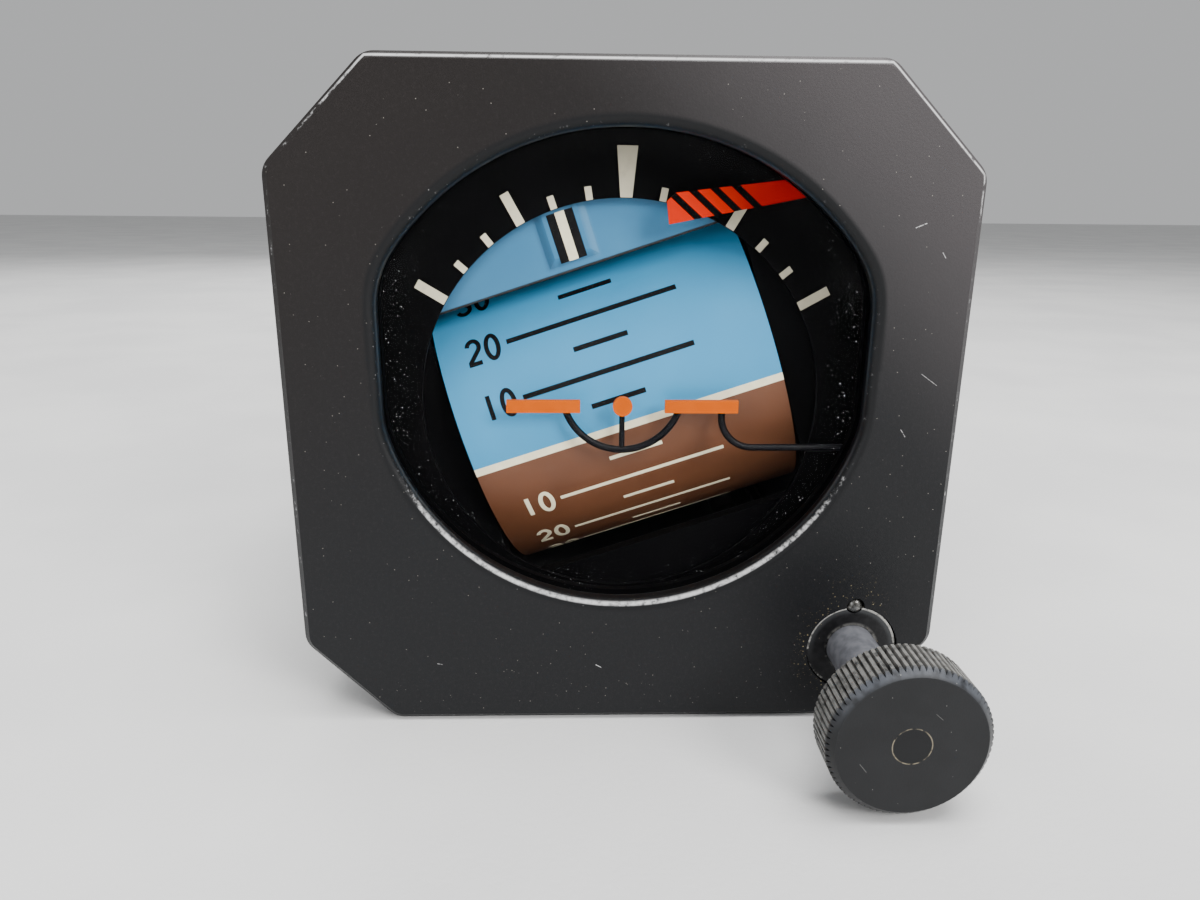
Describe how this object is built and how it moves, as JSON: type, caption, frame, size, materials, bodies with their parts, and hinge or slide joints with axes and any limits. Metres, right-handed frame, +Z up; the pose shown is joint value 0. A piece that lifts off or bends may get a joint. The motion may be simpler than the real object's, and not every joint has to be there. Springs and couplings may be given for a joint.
{
  "type": "attitude indicator",
  "caption": "Square panel gyro horizon: cut-corner bezel, round window, banked pitch drum in a roll ring, fixed aircraft symbol, warning flag, caging knob, long case with a rear connector.",
  "frame": {"origin": "on the roll axis, in the plane where the bezel's lip seats on the panel", "axes": "+Y along the roll axis into the panel, towards the connector; +X to the pilot's right; +Z up; the front faces -Y"},
  "size_m": [0.0828, 0.229, 0.0828],
  "materials": {
    "bezel_paint": "satin black paint, worn at the edges",
    "gasket": "matt",
    "window_glass": "clear, coated",
    "inner_black": "matt black",
    "steel_screws": "plain",
    "symbol_orange": "matt fluorescent orange",
    "wire_black": "satin blue-black",
    "cast_alloy": "machined casting",
    "case_black": "satin black",
    "connector_olive": "olive plating",
    "insert_plastic": "moulded",
    "gold_pins": "gold plated",
    "bearing_steel": "ground",
    "board_green": "lacquered",
    "core_steel": "varnished laminations",
    "capacitor_sleeve": "sleeve",
    "bushing_dark": "dark anodised, bright worn edges",
    "pin_steel": "worn",
    "gimbal_black": "black anodised",
    "sky_blue": "matt sky blue",
    "drum_face": "matt, blue above the horizon and brown below",
    "gear_brass": "cut",
    "gyro_alloy": "machined",
    "rotor_brass": null,
    "flag_red": "matt fluorescent red with black stripes",
    "shaft_dark": "blackened",
    "knob_black": "satin black, worn bevel"
  },
  "bodies": {
    "case": {"bezel": "bezel_paint", "window_gasket": "gasket", "cover_glass": "window_glass", "glass_retainer": "inner_black", "scale_mask": "inner_black", "window_screws": "steel_screws", "symbol_bars": "symbol_orange", "symbol_wire": "wire_black", "front_frame": "cast_alloy", "bezel_screws": "steel_screws", "frame_posts": "cast_alloy", "case_tube": "case_black", "case_screws": "steel_screws", "rear_cover": "case_black", "connector_shell": "connector_olive", "connector_insert": "insert_plastic", "connector_pins": "gold_pins", "bearing_carrier": "cast_alloy", "crank_bracket": "cast_alloy", "rear_posts": "cast_alloy", "roll_bearing_outer": "bearing_steel", "circuit_board": "board_green", "transformer": "core_steel", "capacitors": "capacitor_sleeve", "brush_block": "insert_plastic", "brushes": "gold_pins", "cage_bushing": "bushing_dark", "index_pin": "pin_steel", "cage_spring": "bearing_steel", "flag_motor": "core_steel"},
    "roll_frame": {"roll_gimbal": "gimbal_black", "roll_ring": "inner_black", "sky_plate": "sky_blue", "roll_shaft": "bearing_steel", "roll_bearing_inner": "bearing_steel", "cage_cam": "bearing_steel", "slip_rings": "gold_pins", "drum_bearings": "bearing_steel", "pitch_bearings": "bearing_steel"},
    "drum": {"pitch_drum": "drum_face", "drum_ends": "gimbal_black", "drum_axle": "bearing_steel", "drum_gear": "gear_brass"},
    "idler_front": {"idler_gear_front": "gear_brass"},
    "idler_rear": {"idler_gear_rear": "gear_brass"},
    "gyro": {"gyro_housing_upper": "gyro_alloy", "gyro_housing_lower": "gyro_alloy", "pitch_trunnions": "bearing_steel", "pitch_sector": "gear_brass", "motor_stator": "core_steel", "rotor_bearings": "bearing_steel"},
    "rotor": {"gyro_rotor": "rotor_brass", "rotor_shaft": "bearing_steel"},
    "flag": {"flag_vane": "flag_red", "flag_spindle": "bearing_steel"},
    "caging_rod": {"cage_rod": "bearing_steel"},
    "caging_knob": {"cage_shaft": "shaft_dark", "cage_knob": "knob_black"},
    "caging_crank": {"cage_crank": "bearing_steel"}
  },
  "joints": [
    {"name": "roll", "type": "hinge", "parent": "case", "child": "roll_frame", "pos_m": [0, 0.1, 0], "axis": [0, 1, 0], "continuous": true},
    {"name": "pitch", "type": "hinge", "parent": "roll_frame", "child": "gyro", "pos_m": [0, 0.0698, 0], "axis": [0.9489, 0, 0.3156], "range_deg": [-81.5, 88.5]},
    {"name": "drum_turn", "type": "hinge", "parent": "roll_frame", "child": "drum", "pos_m": [0, 0.0203, 0], "axis": [0.9489, 0, 0.3156], "range_deg": [-172, 158.5]},
    {"name": "rear_idler_turn", "type": "hinge", "parent": "roll_frame", "child": "idler_rear", "pos_m": [0, 0.0478, 0], "axis": [0.9489, 0, 0.3156], "range_deg": [-212, 195.5]},
    {"name": "front_idler_turn", "type": "hinge", "parent": "roll_frame", "child": "idler_front", "pos_m": [0, 0.0348, 0], "axis": [0.9489, 0, 0.3156], "range_deg": [-195.5, 212]},
    {"name": "rotor_spin", "type": "hinge", "parent": "gyro", "child": "rotor", "pos_m": [0, 0.0698, 0], "axis": [-0.3151, 0.061, 0.9471], "continuous": true},
    {"name": "flag_swing", "type": "hinge", "parent": "case", "child": "flag", "pos_m": [0.0338, 0, 0.0268], "axis": [0, -1, 0], "range_deg": [0, 80], "stiffness_Nm_per_rad": 0.0006, "springref_deg": -45.84},
    {"name": "cage_pull", "type": "slide", "parent": "case", "child": "caging_rod", "axis": [0, -1, 0], "range_m": [0, 0.0065], "stiffness_N_per_m": 400, "springref_m": -0.008, "deforming": ["cage_spring"]},
    {"name": "knob_turn", "type": "hinge", "parent": "caging_rod", "child": "caging_knob", "pos_m": [0.0308, 0, -0.0312], "axis": [0, 1, 0], "range_deg": [0, 40]},
    {"name": "crank_swing", "type": "hinge", "parent": "case", "child": "caging_crank", "pos_m": [0.02111, 0.1466, -0.02138], "axis": [-0.7117, 0, -0.7025], "range_deg": [0, 27.44]}
  ],
  "couplings": [
    {"joint": "drum_turn", "follows": "pitch", "ratio": -1.9375},
    {"joint": "rear_idler_turn", "follows": "pitch", "ratio": -2.3846},
    {"joint": "front_idler_turn", "follows": "pitch", "ratio": 2.3846},
    {"joint": "crank_swing", "follows": "cage_pull", "rad_per_m": 73.151}
  ]
}
